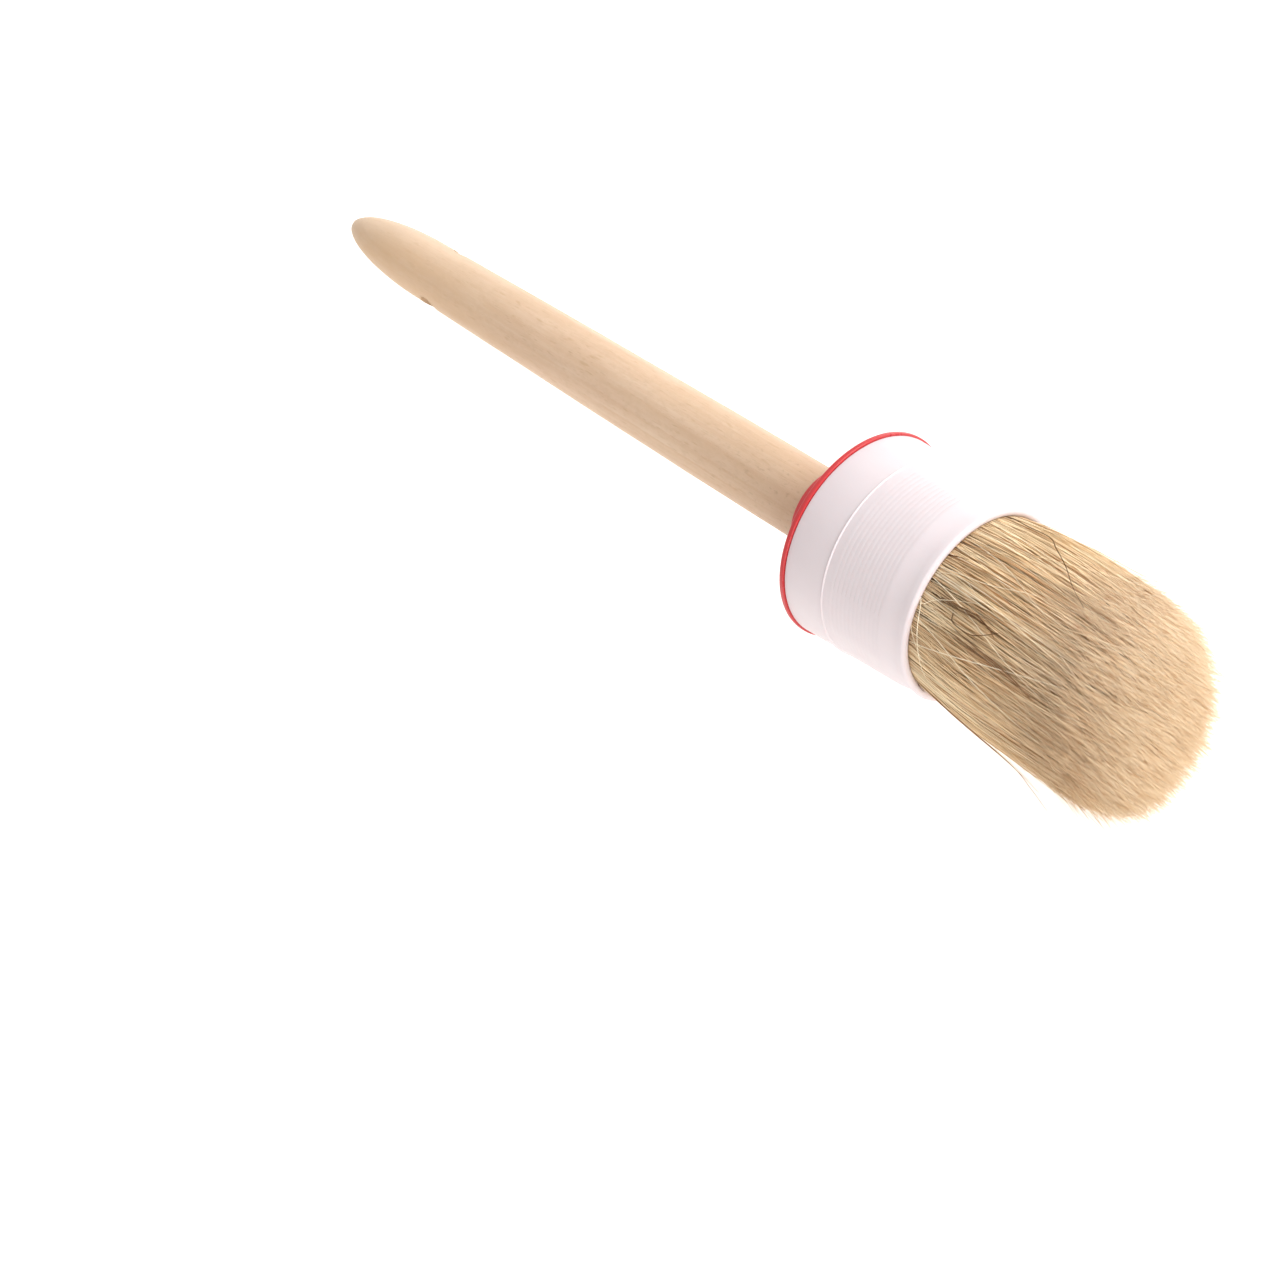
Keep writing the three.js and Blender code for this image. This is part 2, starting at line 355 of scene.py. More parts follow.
def wood_near_tip(n, colour, x, y, height, cloud):
    """A worn nose, paler wood behind it, and brown painted shade on its upper -Y side."""
    nose = n.between(x, MOUTH.x + HANDLE_TIP * MM, MOUTH.x + (HANDLE_TIP + 34) * MM, 1, 0)
    worn = n.maths("MULTIPLY", nose, n.between(cloud, 0.40, 0.62, 0, 0.5))
    colour = n.mix(worn, colour, (0.56, 0.42, 0.305))
    near_tip = n.between(x, MOUTH.x - 205 * MM, MOUTH.x - 150 * MM, 1, 0)
    colour = n.mix(n.maths("MULTIPLY", near_tip, 0.5), colour, (0.70, 0.525, 0.37))
    side = n.maths("MULTIPLY", n.maths("SUBTRACT", y, height), -0.7)  # towards +Z and -Y
    uneven = n.between(cloud, 0.30, 0.55, 0.25, 0.75)
    # Painted shade: browner wood on the upper -Y side towards the tip, where the handle's core shadow
    # falls.
    painted_core_shade = n.maths("MULTIPLY", n.between(side, 0.002, 0.0075), uneven)
    return n.mix(n.maths("MULTIPLY", painted_core_shade, near_tip), colour, (0.60, 0.375, 0.195))


def wood_material():
    """Pale unvarnished birch, turned and sanded: faint growth rings, fibres, short dark pores."""
    n = Nodes("birch_wood")
    colour, fibre, broad_fibre, pores, cloud = wood_grain(n)
    place = n.split(n.place)
    height = n.maths("SUBTRACT", place["Z"], MOUTH.z)  # above the brush's axis
    colour = wood_near_cap(n, colour, place["X"])
    colour = wood_near_hole(n, colour, place["X"], height, broad_fibre)
    colour = wood_near_tip(n, colour, place["X"], place["Y"], height, cloud)

    turning = n.noise(n.stretched(2600, 30, 30), 1, 2)  # faint rings that the lathe left
    roughness = n.between(n.noise(n.stretched(40, 260, 260), 1, 3), 0.3, 0.7, 0.52, 0.72)
    normal = n.bump(fibre, 0.35, 0.00012)
    normal = n.bump(broad_fibre, 0.25, 0.0002, normal)
    normal = n.bump(pores, 0.25, 0.0001, normal)
    normal = n.bump(turning, 0.12, 0.00008, normal)
    n.set(Base_Color=colour, Roughness=roughness, Normal=normal, Specular_IOR_Level=0.35,
          Sheen_Weight=0.22, Sheen_Roughness=0.35, Sheen_Tint=(1.0, 0.93, 0.85),
          Subsurface_Weight=0.06, Subsurface_Radius=(0.0022, 0.0011, 0.0005))
    return n.material


def red_material():
    """Glossy red moulded plastic with flow marks and fine scuffs."""
    n = Nodes("red_plastic")
    flow = n.noise(n.stretched(90, 90, 90), 1, 3, 0.55, 0.6)
    grain = n.noise(n.place, 2600, 2)
    scuffs = n.noise(n.stretched(900, 160, 160), 1, 3, 0.6)
    colour = n.ramp(flow, (0.25, (0.47, 0.022, 0.026)), (0.75, (0.56, 0.033, 0.035)))
    colour = n.tinted(colour, scuffs, 0.6, 0.8, 0.2, (0.80, 0.13, 0.12))
    roughness = n.between(flow, 0.3, 0.7, 0.26, 0.36)
    roughness = n.maths("ADD", roughness, n.between(scuffs, 0.5, 0.8, 0, 0.18))
    normal = n.bump(grain, 0.05, 0.00005)
    normal = n.bump(flow, 0.10, 0.0004, normal)
    n.set(Base_Color=colour, Roughness=roughness, Normal=normal, IOR=1.5,
          Subsurface_Weight=0.10, Subsurface_Radius=(0.0018, 0.0003, 0.0002))
    return n.material


def white_material():
    """Slightly see-through white polythene with a rosy cast, flow marks and fine scratches."""
    n = Nodes("white_plastic")
    flow = n.noise(n.stretched(26, 70, 70), 1, 3, 0.5, 0.8)
    cloud = n.noise(n.stretched(160, 160, 160), 1, 2)
    scratches = n.noise(n.stretched(140, 2400, 2400, rotation=(0.2, 0, 0)), 1, 2, 0.6)
    grain = n.noise(n.place, 3400, 2)
    colour = n.ramp(flow, (0.25, (0.668, 0.590, 0.602)), (0.75, (0.708, 0.634, 0.640)))
    colour = n.tinted(colour, cloud, 0.4, 0.7, 0.35, (0.698, 0.612, 0.628))
    colour = n.tinted(colour, scratches, 0.66, 0.8, 0.3, (0.75, 0.69, 0.69))
    roughness = n.between(cloud, 0.3, 0.7, 0.42, 0.52)
    roughness = n.maths("ADD", roughness, n.between(scratches, 0.6, 0.8, 0, 0.12))
    normal = n.bump(grain, 0.05, 0.00005)
    normal = n.bump(scratches, 0.05, 0.00005, normal)
    normal = n.bump(flow, 0.12, 0.0006, normal)
    n.set(Base_Color=colour, Roughness=roughness, Normal=normal, IOR=1.51, Specular_IOR_Level=0.3,
          Subsurface_Weight=0.22, Subsurface_Radius=(0.0030, 0.0020, 0.0018))
    return n.material


def core_material():
    """Dull grey-white plastic of the hidden plug."""
    n = Nodes("core_plastic")
    cloud = n.noise(n.place, 300, 3)
    colour = n.ramp(cloud, (0.3, (0.62, 0.60, 0.56)), (0.7, (0.72, 0.70, 0.66)))
    normal = n.bump(n.noise(n.place, 1800, 2), 0.1, 0.0001)
    n.set(Base_Color=colour, Roughness=n.between(cloud, 0.3, 0.7, 0.45, 0.6), Normal=normal)
    return n.material


def resin_material():
    """Amber setting resin with darker clouds and a wavy skin."""
    n = Nodes("resin")
    cloud = n.noise(n.place, 220, 4, 0.6, 0.5)
    colour = n.ramp(cloud, (0.3, (0.22, 0.11, 0.035)), (0.7, (0.42, 0.24, 0.09)))
    normal = n.bump(cloud, 0.3, 0.0006)
    n.set(Base_Color=colour, Roughness=n.between(cloud, 0.3, 0.7, 0.18, 0.34), Normal=normal,
          Coat_Weight=0.4, Coat_Roughness=0.1)
    return n.material


def bristle_material():
    """Hog bristle: each hair has its own tone, a duller root and a worn tip, with painted shade on the
    tips' -Y side.

    The meshes carry tone, from 0, black, to 1, cream, and along, from 0 at the root to 1 at the tip.
    """
    n = Nodes("bristle")
    tone = n.attribute("tone")
    along = n.attribute("along")
    place = n.split(n.place)
    colour = n.ramp(tone, (0.00, (0.060, 0.022, 0.009)), (0.10, (0.24, 0.105, 0.044)),
                    (0.22, (0.57, 0.315, 0.150)), (0.45, (0.90, 0.665, 0.40)),
                    (0.70, (0.96, 0.79, 0.54)), (1.00, (0.98, 0.89, 0.71)))
    streak = n.noise(n.stretched(120, 900, 900), 1, 2, 0.5)
    patch = n.noise(n.stretched(45, 130, 130), 1, 2, 0.5)
    shade = n.mix(n.between(streak, 0.35, 0.65), (0.90, 0.88, 0.85), (1.06, 1.05, 1.04))
    colour = n.mix(1.0, colour, shade, "MULTIPLY")
    colour = n.tinted(colour, patch, 0.45, 0.7, 0.25, (0.70, 0.50, 0.29))
    # Tips are painted browner on the -Y side, as painted shade on the side away from the key light,
    # and browner still at the knot's front end.
    painted_shade_side = n.between(place["Y"], -0.012, 0.016, 1, 0)
    tip_colour = n.mix(painted_shade_side, (0.93, 0.78, 0.595), (0.815, 0.64, 0.445))
    browner_end = n.between(place["X"], MOUTH.x + 46 * MM, MOUTH.x + 54 * MM, 0, 0.8)
    tip_colour = n.mix(browner_end, tip_colour, (0.715, 0.54, 0.365))
    not_dark = n.between(tone, 0.15, 0.35, 0.1, 1)
    tip = n.maths("MULTIPLY", n.between(along, 0.55, 1.0, 0, 0.65), not_dark)
    colour = n.mix(tip, colour, tip_colour)
    not_dark = n.between(tone, 0.1, 0.3)
    root = n.maths("MULTIPLY", n.between(along, 0.16, 0.42, 0.2, 0), not_dark)
    colour = n.mix(root, colour, (0.62, 0.47, 0.31))
    roughness = n.between(streak, 0.3, 0.7, 0.34, 0.50)
    normal = n.bump(n.noise(n.stretched(4000, 9000, 9000), 1, 1), 0.15, 0.00003)
    n.set(Base_Color=colour, Roughness=roughness, Normal=normal, Specular_IOR_Level=0.02,
          Specular_Tint=(1.0, 0.78, 0.55))
    return n.material


def floor_material():
    """A white shooting table, softly lit from below, with the least mottling."""
    n = Nodes("light_table")
    cloud = n.noise(n.place, 3, 2)
    colour = n.ramp(cloud, (0.3, (0.90, 0.895, 0.89)), (0.7, (0.92, 0.915, 0.91)))
    n.set(Base_Color=colour, Roughness=0.9, Specular_IOR_Level=0.1,
          Emission_Color=(1.0, 0.96, 0.91), Emission_Strength=0.54)
    return n.material


# ---- Mesh helpers ----
ON_AXIS = 1e-6  # a smaller radius counts as none


def rounded(corners, steps=5):
    """A closed outline from (station, radius, fillet) corners, with each fillet as an arc."""
    outline = []
    count = len(corners)
    for index, (station, radius, fillet) in enumerate(corners):
        here = Vector((station, radius))
        if not fillet:
            outline.append(here)
            continue
        before = (Vector(corners[index - 1][:2]) - here).normalized()
        after = (Vector(corners[(index + 1) % count][:2]) - here).normalized()
        half = before.angle(after) / 2
        centre = here + (before + after).normalized() * (fillet / math.sin(half))
        start = here + before * (fillet / math.tan(half)) - centre
        sweep = start.angle_signed(here + after * (fillet / math.tan(half)) - centre)
        for step in range(steps + 1):
            outline.append(centre + Matrix.Rotation(-sweep * step / steps, 2) @ start)
    return outline


def add_band(bm, first, second):
    """Faces between two rings of corners. A ring on the axis repeats a single corner."""
    for index in range(len(first)):
        following = (index + 1) % len(first)
        corners = (first[index], first[following], second[following], second[index])
        bm.faces.new(dict.fromkeys(corners))


def finish_mesh(bm, name):
    """The mesh that was built, with its faces turned outwards."""
    bmesh.ops.recalc_face_normals(bm, faces=bm.faces)
    mesh = bpy.data.meshes.new(name)
    bm.to_mesh(mesh)
    bm.free()
    return mesh


def turned(name, outline, segments=192, closed=True):
    """A smooth body turned about the brush's axis from (station, radius) points.

    An outline that isn't closed starts and ends on the axis.
    """
    bm = bmesh.new()
    rings = []
    for station, radius in outline:
        x = MOUTH.x + station * MM
        if radius < ON_AXIS:
            rings.append([bm.verts.new((x, 0, MOUTH.z))] * segments)
            continue
        ring = []
        for index in range(segments):
            angle = 2 * math.pi * index / segments
            y = radius * MM * math.cos(angle)
            ring.append(bm.verts.new((x, y, MOUTH.z + radius * MM * math.sin(angle))))
        rings.append(ring)
    pairs = list(zip(rings, rings[1:]))
    if closed:
        pairs.append((rings[-1], rings[0]))
    for first, second in pairs:
        add_band(bm, first, second)
    mesh = finish_mesh(bm, name)
    mesh.shade_smooth()
    mesh.set_sharp_from_angle(angle=math.radians(40))
    return linked(name, mesh)


def finish_piece(piece, node, material):
    """Gives a piece its material and the body that it rides on, and hides the CAD node that it
    replaces.
    """
    piece.data.materials.clear()
    piece.data.materials.append(material)
    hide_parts(node)
    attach(piece, BODY)


def mix_to(first, second, share):
    """The value that lies this share of the way from the first to the second."""
    return first + (second - first) * share


def bezier(points, share):
    """A place on a cubic Bezier curve with four points."""
    rest = 1 - share
    weights = (rest**3, 3 * rest**2 * share, 3 * rest * share**2, share**3)
    return sum((Vector(point) * weight for point, weight in zip(points, weights)), Vector((0, 0)))


# ---- Handle ----
NOSE_STEPS = 28
BODY_STEPS = 90
HAND_TURNED_MM = 0.07  # how far the turned surface wanders from true
TENON_CHAMFER = 1
DRILL_SIDES = 56
DRILL_PLAIN_MM = 4  # the hole is plain this far from its middle, and torn at its mouths
DRILL_REACHES_MM = (-14, -7.9, -6.9, -4, 4, 6.9, 7.9, 14)  # its rings, from end to end
DRILL_WOBBLE_MM = 0.10
TEAR_MM = 0.04  # how much wider the hole is at its mouths
PULL_MM = 0.22  # and how much more where the drill pulled at the grain


def handle_outline():
    """The nose as a quarter of an ellipse, the body as one curve, and the tenon."""
    nose_end = HANDLE_TIP + NOSE_LENGTH
    outline = []
    for step in range(NOSE_STEPS):
        turn = step / NOSE_STEPS * math.pi / 2
        outline.append((nose_end - NOSE_LENGTH * math.cos(turn), NOSE_RADIUS * math.sin(turn)))
    curve = (
        (nose_end, NOSE_RADIUS),
        (nose_end + BODY_START_REACH, NOSE_RADIUS),
        (NECK_BACK - BODY_END_REACH, HANDLE_RADIUS),
        (NECK_BACK, HANDLE_RADIUS),
    )
    outline += [tuple(bezier(curve, step / BODY_STEPS)) for step in range(BODY_STEPS + 1)]
    outline += [
        (TENON_SHOULDER, HANDLE_RADIUS),
        (TENON_SHOULDER + TENON_CHAMFER, TENON_RADIUS),
        (TENON_END - TENON_CHAMFER, TENON_RADIUS),
        (TENON_END, TENON_RADIUS - TENON_CHAMFER),
        (TENON_END, 0),
    ]
    return outline


def torn_drill():
    """The tool that cuts the hanging hole: not quite round, with ragged mouths."""
    bm = bmesh.new()
    rings = []
    for reach in DRILL_REACHES_MM:
        ring = []
        tear = min(max(0.0, abs(reach) / DRILL_PLAIN_MM - 1), 1)
        for side in range(DRILL_SIDES):
            angle = 2 * math.pi * side / DRILL_SIDES
            rough = noise.noise(Vector((3 * math.cos(angle), 3 * math.sin(angle), reach * 0.2)))
            pull = max(0.0, -math.cos(angle) if reach > 0 else math.cos(angle)) ** 6
            radius = (HOLE_RADIUS + DRILL_WOBBLE_MM * rough + tear * (TEAR_MM + PULL_MM * pull)) * MM
            x = MOUTH.x + HOLE_STATION * MM + radius * math.cos(angle)
            ring.append(bm.verts.new((x, reach * MM, MOUTH.z + radius * math.sin(angle))))
        rings.append(ring)
    for first, second in zip(rings, rings[1:]):
        add_band(bm, first, second)
    bm.faces.new(rings[0])
    bm.faces.new(rings[-1])
    return linked("torn_drill", finish_mesh(bm, "torn_drill"))


def hand_turn(piece):
    """Moves the handle's surface slightly out of true, up to where the collar hides it."""
    for vertex in piece.data.vertices:
        station = station_of(vertex.co.x)
        if station > NECK_BACK - 1:
            continue
        arm = Vector((0, vertex.co.y, vertex.co.z - MOUTH.z))
        if arm.length < ON_AXIS:
            continue
        facing = arm.normalized()
        wander = noise.noise(Vector((station / 30, 1.3 * facing.y, 1.3 * facing.z)))
        wander += 0.4 * noise.noise(Vector((station / 7, 4 * facing.y, 4 * facing.z)))
        vertex.co += facing * wander * HAND_TURNED_MM * MM


def add_handle():
    """The turned handle with its hanging hole, as one applied mesh."""
    piece = turned("turned_handle", handle_outline(), 160, closed=False)
    hand_turn(piece)
    drill = torn_drill()
    cut = piece.modifiers.new("hanging_hole", "BOOLEAN")
    cut.operation = "DIFFERENCE"
    cut.solver = "EXACT"
    cut.object = drill
    bpy.context.view_layer.update()
    evaluated = piece.evaluated_get(bpy.context.evaluated_depsgraph_get())
    drilled = bpy.data.meshes.new_from_object(evaluated)
    piece.modifiers.clear()
    piece.data = drilled
    piece.data.shade_smooth()
    piece.data.set_sharp_from_angle(angle=math.radians(38))
    bpy.data.objects.remove(drill)
    finish_piece(piece, "handle", wood_material())


# ---- Collar cap and ferrule ----
EDGE_ROUND = 0.25  # at the ferrule's back edge
INNER_CHAMFER = 0.15
EDGE_STEPS = 4
RIB_STEPS = 8
GROOVE_STEPS = 10
BEAD_STEPS = 24


def ferrule_outer(station):
    """The radius of the ferrule's plain outside, which narrows towards its mouth."""
    share = (station - FERRULE_BACK) / (FERRULE_FRONT - FERRULE_BACK)
    return mix_to(FERRULE_RADIUS, MOUTH_RADIUS, share)


def add_collar_cap():
    """Neck, cove, flange, rim, skirt and hub, each corner with its own rounding."""
    rim_front = FERRULE_BACK - SEATING_GAP
    rim_back = FERRULE_BACK - GAP - RIM_THICKNESS
    cove = rim_back - FLANGE_RISE
    bore = HANDLE_RADIUS + 0.08
    skirt = ferrule_outer(SKIRT_FRONT) - FERRULE_WALL - GAP
    outline = rounded([
        (NECK_BACK, bore, 0.15),
        (NECK_BACK, NECK_RADIUS, 0.55),
        (NECK_FOOT, NECK_FOOT_RADIUS, 1.5),
        (cove, NECK_FOOT_RADIUS + 0.25, 1.1),
        (cove, NECK_FOOT_RADIUS + COVE_RADIUS, 0.35),
        (cove + 0.35, NECK_FOOT_RADIUS + COVE_RADIUS + 0.5, 0.3),
        (rim_back, RIM_RADIUS, 0.42),
        (rim_front, RIM_RADIUS, 0.25),
        (rim_front, skirt, 0),
        (SKIRT_FRONT, skirt, 0.2),
        (SKIRT_FRONT, skirt - SKIRT_WALL, 0.2),
        (rim_front, skirt - SKIRT_WALL, 0.2),
        (rim_front, HUB_RADIUS, 0.2),
        (HUB_FRONT, HUB_RADIUS, 0.2),
        (HUB_FRONT, bore, 0.2),
    ])
    finish_piece(turned("moulded_collar_cap", outline), "collar_cap", red_material())


def add_ferrule():
    """Back edge, plain band, raised line, ribs, groove and rolled lip, and a plain inside."""
    inner_back = FERRULE_RADIUS - FERRULE_WALL
    outline = [(FERRULE_BACK, inner_back + INNER_CHAMFER)]
    outline.append((FERRULE_BACK, FERRULE_RADIUS - EDGE_ROUND))
    for step in range(1, EDGE_STEPS + 1):
        turn = step / EDGE_STEPS * math.pi / 2
        station = FERRULE_BACK + EDGE_ROUND * (1 - math.cos(turn))
        outline.append((station, FERRULE_RADIUS - EDGE_ROUND * (1 - math.sin(turn))))

    bumps = [(STEP_STATION, STEP_WIDTH, STEP_HEIGHT)]
    for rib in range(RIB_COUNT):
        bumps.append((RIB_FIRST + (rib + 0.5) * RIB_PITCH, RIB_PITCH, RIB_HEIGHT))
    for middle, width, height in bumps:
        for step in range(RIB_STEPS + 1):
            share = step / RIB_STEPS
            station = middle + (share - 0.5) * width
            rise = height * math.sin(math.pi * share) ** 1.5
            outline.append((station, ferrule_outer(station) + rise))
    groove_start = RIB_FIRST + RIB_COUNT * RIB_PITCH
    groove_end = -2 * BEAD_RADIUS + 0.15
    for step in range(1, GROOVE_STEPS):
        station = mix_to(groove_start, groove_end, step / GROOVE_STEPS)
        hollow = math.sin(math.pi * step / GROOVE_STEPS * 0.75)
        outline.append((station, ferrule_outer(station) - GROOVE_DEPTH * hollow))
    for step in range(2, BEAD_STEPS + 1):
        turn = math.pi * step / BEAD_STEPS
        station = BEAD_RADIUS * (math.sin(turn) - 1)
        outline.append((station, THROAT_RADIUS + BEAD_RADIUS * (1 + math.cos(turn))))
    outline.append((GROOVE_STATION, THROAT_RADIUS + 0.4))
    outline.append((FERRULE_BACK + INNER_CHAMFER, inner_back))
    piece = turned("ribbed_ferrule", outline, 256)
    finish_piece(piece, "ferrule", white_material())


# ---- Bristles ----
# Each hair is a tapered three-sided prism along its own path of rings. Its place in the knot is
# given as shares (y, z) of the knot's radius.
SEED = 4721
HAIR_COUNT = 19500
HAIR_PIECES = 8
RINGS = 11
SIDES = 3
THICKNESS_MM = (0.17, 0.32)  # a hair's thickness at its root
SLIMMING = 0.80  # and how much thinner it is at its tip, as a share
RIM_CROWDING = 0.48  # 0.5 would spread the hairs evenly
TUFT_SPACING_MM = 2.3
LOCK_SPACING_MM = 0.8
LEAN_MM = -2.1  # how far the whole knot's end leans along Y
SLIM_MM = 0.6  # the loose hairs stay this far inside the knot's full radius
CLOSING_MM = 0.7  # and their tips draw together by this much more
FLOOR_CLEARANCE = 0.0003  # in metres: hairs that would go lower lie on the table instead

SHORT_MM = 2.5  # hairs end about this far behind the trimmed dome, and the longest pass it
SLANT_MM = 3.4  # the end slants: hairs on the -Y side are longer by this much, on +Y shorter
LENGTH_SPREAD_MM = 2.0
WORN_SHARE = 0.35  # the share of hairs that are worn, and by how much
WORN_MM = (1, 15)
BROKEN_SHARE = 0.02  # and the same for the broken ones
BROKEN_MM = (10, 34)
SHORTEST_MM = 6
LONGEST_MM = KNOT_TIP + 1.5

WILD_SHARE = 0.12  # hairs that slope away from their neighbours
LOOSE_SHARE = 0.015  # hairs that stand out of the knot
BOW_MM = 0.5
WAVE_LENGTH_MM = (20, 50)
WAVE_HEIGHT_MM = (0.03, 0.22)

MEAN_TONE = 0.63
TONE_SPREAD = 0.11
BROWN_SHARE = 0.14
PALE_SHARE = 0.10
DARK_SHARE = 0.009
PATCH_ANGLE = 22  # a patch of browner hair, as degrees from the top towards -Y
PATCH_HALF_ANGLE = 16
PATCH_STATION = 21
PATCH_HALF_LENGTH = 10

FLAG_COUNT = 17000  # fine split ends at the tips
FLAG_PIECES = 3
FLAG_RINGS = 5
FLAG_START = 0.88  # where a split leaves its hair, as a share of the hair's length
FLAG_SPREAD_MM = 0.95
FLAG_THICKNESS_MM = (0.08, 0.14)
FLAG_SLIMMING = 0.6


def knot_radius(station):
    """The loose knot's radius at stations beyond the mouth, before its tips are trimmed."""
    share = np.clip((station + BEAD_RADIUS) / KNOT_FULL, 0, 1)
    radius = mix_to(THROAT_RADIUS - 0.15, KNOT_RADIUS - SLIM_MM, 1 - (1 - share) ** 2.6)
    beyond = np.clip((station - KNOT_FULL) / (KNOT_TIP - KNOT_FULL), 0, 1)
    return radius - CLOSING_MM * beyond**1.5


def knot_lean(station):
    """How far the knot's axis has moved along Y at a station, in millimetres."""
    return LEAN_MM * (np.clip(station, 0, None) / 55) ** 1.5


def trimmed_end(places):
    """The station where hairs at these places end, on a slanting dome."""
    reach = np.linalg.norm(places, axis=1)
    curve = (1 - reach**DOME_SQUARENESS) ** (1 / DOME_SQUARENESS)
    return KNOT_TIP - DOME_DEPTH * (1 - curve) - SHORT_MM - SLANT_MM * places[:, 0]


def sunflower(count, power=0.5):
    """Evenly spread places in a circle of radius 1; a lower power crowds them to the rim."""
    index = np.arange(count)
    reach = ((index + 0.5) / count) ** power
    angle = index * math.pi * (3 - math.sqrt(5))
    return np.stack((reach * np.cos(angle), reach * np.sin(angle)), 1)


def nearest(places, centres):
    """For each place, the index of the centre that it is nearest to."""
    tree = kdtree.KDTree(len(centres))
    for index, (y, z) in enumerate(centres):
        tree.insert((y, z, 0), index)
    tree.balance()
    return np.array([tree.find((y, z, 0))[1] for y, z in places])


def hair_places(rng):
    """Each hair's place, the tufts and locks that hairs gather in, and which of them is its own."""
    places = sunflower(HAIR_COUNT, RIM_CROWDING)
    places += rng.normal(0, 0.006, places.shape)
    places /= np.maximum(1, np.linalg.norm(places, axis=1) / 0.995)[:, None]
    tufts = sunflower(int((KNOT_RADIUS / TUFT_SPACING_MM) ** 2 * math.pi))
    tufts += rng.normal(0, 0.018, tufts.shape)
    locks = sunflower(int((KNOT_RADIUS / LOCK_SPACING_MM) ** 2 * math.pi))
    locks += rng.normal(0, 0.007, locks.shape)
    return places, tufts, nearest(places, tufts), locks, nearest(places, locks)


def hair_lengths(rng, places, tufts, tuft):
    """The station where each hair ends. Many are worn short, and a few are broken off."""
    length = trimmed_end(places) + rng.normal(0, LENGTH_SPREAD_MM, HAIR_COUNT)
    length += rng.normal(0, 0.6, len(tufts))[tuft]
    worn = rng.random(HAIR_COUNT) < WORN_SHARE
    length -= worn * rng.uniform(*WORN_MM, HAIR_COUNT)
    broken = rng.random(HAIR_COUNT) < BROKEN_SHARE
    length -= broken * rng.uniform(*BROKEN_MM, HAIR_COUNT)
    return np.clip(length, SHORTEST_MM, LONGEST_MM)


def hair_slopes(rng, outward, around, tufts, tuft, locks, lock):
    """How much each hair moves along Y and Z for each millimetre beyond the mouth."""
    wild = rng.random(HAIR_COUNT) < WILD_SHARE
    sideways = rng.normal(0, 0.036, HAIR_COUNT) + wild * rng.normal(0, 0.09, HAIR_COUNT)
    sideways += rng.normal(0, 0.010, len(locks))[lock] + rng.normal(0, 0.012, len(tufts))[tuft]
    outwards = rng.normal(0, 0.006, HAIR_COUNT) + wild * rng.normal(0, 0.014, HAIR_COUNT)
    loose = rng.random(HAIR_COUNT) < LOOSE_SHARE
    outwards += loose * np.abs(rng.normal(0, 0.03, HAIR_COUNT))
    return sideways[:, None] * around + outwards[:, None] * outward


def hair_waves(rng, free):
    """The slight wave that each hair has along its free length, in a direction of its own."""
    phase = rng.uniform(0, 2 * math.pi, (HAIR_COUNT, 2))
    pitch = rng.uniform(*WAVE_LENGTH_MM, (HAIR_COUNT, 1))
    height = rng.uniform(*WAVE_HEIGHT_MM, (HAIR_COUNT, 1))
    wave = np.sin(2 * math.pi * free / pitch + phase[:, :1]) - np.sin(phase[:, :1])
    direction = np.stack((np.cos(phase[:, 1]), np.sin(phase[:, 1])), 1)
    fade_in = np.clip(free / 20, 0, 1)
    return (wave * height)[:, :, None] * direction[:, None, :] * fade_in[:, :, None]


def hair_paths(rng):
    """Every hair's places ring by ring, as stations and offsets in millimetres from the axis."""
    places, tufts, tuft, locks, lock = hair_places(rng)
    outward = places / np.linalg.norm(places, axis=1, keepdims=True)
    around = np.stack((-outward[:, 1], outward[:, 0]), 1)
    length = hair_lengths(rng, places, tufts, tuft)

    share = np.linspace(0, 1, RINGS - 1)
    station = np.empty((HAIR_COUNT, RINGS))
    station[:, 0] = KNOT_BUTT
    station[:, 1:] = -1 + (length[:, None] + 1) * share**0.9
    free = np.clip(station, 0, None)

    radius = knot_radius(free)[:, :, None]
    path = places[:, None, :] * radius
    to_lock = (locks[lock] - places)[:, None, :] * radius
    to_tuft = (tufts[tuft] - places)[:, None, :] * radius
    path += to_lock * (0.07 * np.clip(free / 12, 0, 1))[:, :, None]
    path += to_tuft * (0.25 * np.clip((free - 30) / 28, 0, 1) ** 1.5)[:, :, None]

    slope = hair_slopes(rng, outward, around, tufts, tuft, locks, lock)
    path += slope[:, None, :] * free[:, :, None]
    bow = rng.normal(0, BOW_MM, HAIR_COUNT)[:, None] * np.sin(math.pi * free / length[:, None])
    path += bow[:, :, None] * around[:, None, :]
    path += hair_waves(rng, free)
    path[:, :, 0] += knot_lean(free)
    return station, path, tuft, lock


